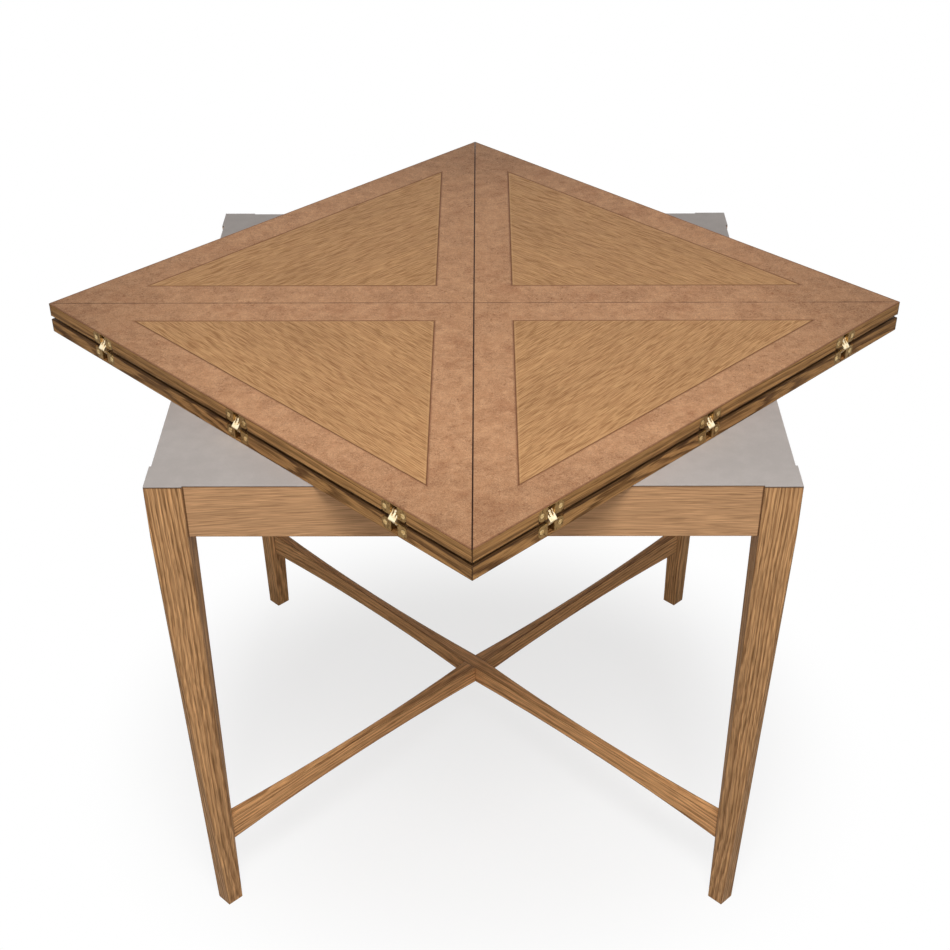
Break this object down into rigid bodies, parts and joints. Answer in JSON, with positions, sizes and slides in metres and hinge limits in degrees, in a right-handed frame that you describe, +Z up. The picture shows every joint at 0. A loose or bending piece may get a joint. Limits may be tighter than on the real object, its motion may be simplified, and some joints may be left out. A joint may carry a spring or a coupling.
{
  "type": "card table",
  "caption": "Square wooden card table whose swivelling envelope top opens into triangular hinged leaves that rest on the corners of a frame with tapered legs and a crossed stretcher.",
  "frame": {"origin": "on the floor under the middle of the base", "axes": "+Z up, the aprons run along X and Y, the front seen in the picture faces -Y; the top is stored turned 45 degrees on the base with its leaves folded in"},
  "size_m": [1.113, 1.113, 0.7535],
  "materials": {
    "frame_wood": "stained ring-porous hardwood, satin lacquer",
    "edging_wood": "stained ring-porous hardwood edging, satin lacquer",
    "field_veneer": "straight-grained golden brown veneer, satin lacquer",
    "border_veneer": "mottled reddish tan burr veneer, satin lacquer",
    "panel_core": "bare board core",
    "block_wood": "bare hardwood",
    "peg_wood": "turned hardwood peg, waxed",
    "base_cloth": "pale grey felt",
    "playing_cloth": "grey wool baize",
    "hinge_plate_brass": "brushed, aged",
    "hinge_link_brass": "polished by use",
    "hinge_screw_brass": "slotted, satin",
    "bush_brass": "turned, greased",
    "swivel_steel": "zinc plated, satin"
  },
  "bodies": {
    "base": {"leg_front_left": "frame_wood", "leg_front_right": "frame_wood", "leg_rear_right": "frame_wood", "leg_rear_left": "frame_wood", "apron_front": "frame_wood", "apron_right": "frame_wood", "apron_rear": "frame_wood", "apron_left": "frame_wood", "stretcher_rail_lower": "frame_wood", "stretcher_rail_upper": "frame_wood", "deck": "panel_core", "base_cover": "base_cloth", "corner_blocks": "block_wood", "corner_screws": "swivel_steel", "pivot_bush": "bush_brass", "stop_peg": "peg_wood"},
    "top": {"board_core": "panel_core", "board_edging": "edging_wood", "board_baize": "playing_cloth", "board_hinge_plates": "hinge_plate_brass", "board_hinge_screws": "hinge_screw_brass", "pivot_stud": "swivel_steel", "pivot_screws": "swivel_steel", "pivot_washer": "swivel_steel", "pivot_nut": "swivel_steel"},
    "link_front_left": {"hinge_links_front_left": "hinge_link_brass"},
    "leaf_front_left": {"leaf_core_front_left": "panel_core", "leaf_edging_front_left": "edging_wood", "leaf_border_front_left": "border_veneer", "leaf_field_front_left": "field_veneer", "leaf_baize_front_left": "playing_cloth", "leaf_hinge_plates_front_left": "hinge_plate_brass", "leaf_hinge_screws_front_left": "hinge_screw_brass"},
    "link_front_right": {"hinge_links_front_right": "hinge_link_brass"},
    "leaf_front_right": {"leaf_core_front_right": "panel_core", "leaf_edging_front_right": "edging_wood", "leaf_border_front_right": "border_veneer", "leaf_field_front_right": "field_veneer", "leaf_baize_front_right": "playing_cloth", "leaf_hinge_plates_front_right": "hinge_plate_brass", "leaf_hinge_screws_front_right": "hinge_screw_brass"},
    "link_rear_right": {"hinge_links_rear_right": "hinge_link_brass"},
    "leaf_rear_right": {"leaf_core_rear_right": "panel_core", "leaf_edging_rear_right": "edging_wood", "leaf_border_rear_right": "border_veneer", "leaf_field_rear_right": "field_veneer", "leaf_baize_rear_right": "playing_cloth", "leaf_hinge_plates_rear_right": "hinge_plate_brass", "leaf_hinge_screws_rear_right": "hinge_screw_brass"},
    "link_rear_left": {"hinge_links_rear_left": "hinge_link_brass"},
    "leaf_rear_left": {"leaf_core_rear_left": "panel_core", "leaf_edging_rear_left": "edging_wood", "leaf_border_rear_left": "border_veneer", "leaf_field_rear_left": "field_veneer", "leaf_baize_rear_left": "playing_cloth", "leaf_hinge_plates_rear_left": "hinge_plate_brass", "leaf_hinge_screws_rear_left": "hinge_screw_brass"}
  },
  "joints": [
    {"name": "top_swivel", "type": "hinge", "parent": "base", "child": "top", "pos_m": [0, 0, 0.7134], "axis": [0, 0, 1], "range_deg": [-45, 0]},
    {"name": "link_front_left_fold", "type": "hinge", "parent": "top", "child": "link_front_left", "pos_m": [-0.27443, -0.27443, 0.726], "axis": [0.7071, -0.7071, 0], "range_deg": [0, 90]},
    {"name": "leaf_front_left_fold", "type": "hinge", "parent": "link_front_left", "child": "leaf_front_left", "pos_m": [-0.27443, -0.27443, 0.7409], "axis": [0.7071, -0.7071, 0], "range_deg": [0, 90]},
    {"name": "link_front_right_fold", "type": "hinge", "parent": "top", "child": "link_front_right", "pos_m": [0.27443, -0.27443, 0.726], "axis": [0.7071, 0.7071, 0], "range_deg": [0, 90]},
    {"name": "leaf_front_right_fold", "type": "hinge", "parent": "link_front_right", "child": "leaf_front_right", "pos_m": [0.27443, -0.27443, 0.7409], "axis": [0.7071, 0.7071, 0], "range_deg": [0, 90]},
    {"name": "link_rear_right_fold", "type": "hinge", "parent": "top", "child": "link_rear_right", "pos_m": [0.27443, 0.27443, 0.726], "axis": [-0.7071, 0.7071, 0], "range_deg": [0, 90]},
    {"name": "leaf_rear_right_fold", "type": "hinge", "parent": "link_rear_right", "child": "leaf_rear_right", "pos_m": [0.27443, 0.27443, 0.7409], "axis": [-0.7071, 0.7071, 0], "range_deg": [0, 90]},
    {"name": "link_rear_left_fold", "type": "hinge", "parent": "top", "child": "link_rear_left", "pos_m": [-0.27443, 0.27443, 0.726], "axis": [-0.7071, -0.7071, 0], "range_deg": [0, 90]},
    {"name": "leaf_rear_left_fold", "type": "hinge", "parent": "link_rear_left", "child": "leaf_rear_left", "pos_m": [-0.27443, 0.27443, 0.7409], "axis": [-0.7071, -0.7071, 0], "range_deg": [0, 90]}
  ],
  "couplings": [
    {"joint": "leaf_front_left_fold", "follows": "link_front_left_fold", "ratio": 1},
    {"joint": "leaf_front_right_fold", "follows": "link_front_right_fold", "ratio": 1},
    {"joint": "leaf_rear_right_fold", "follows": "link_rear_right_fold", "ratio": 1},
    {"joint": "leaf_rear_left_fold", "follows": "link_rear_left_fold", "ratio": 1}
  ]
}
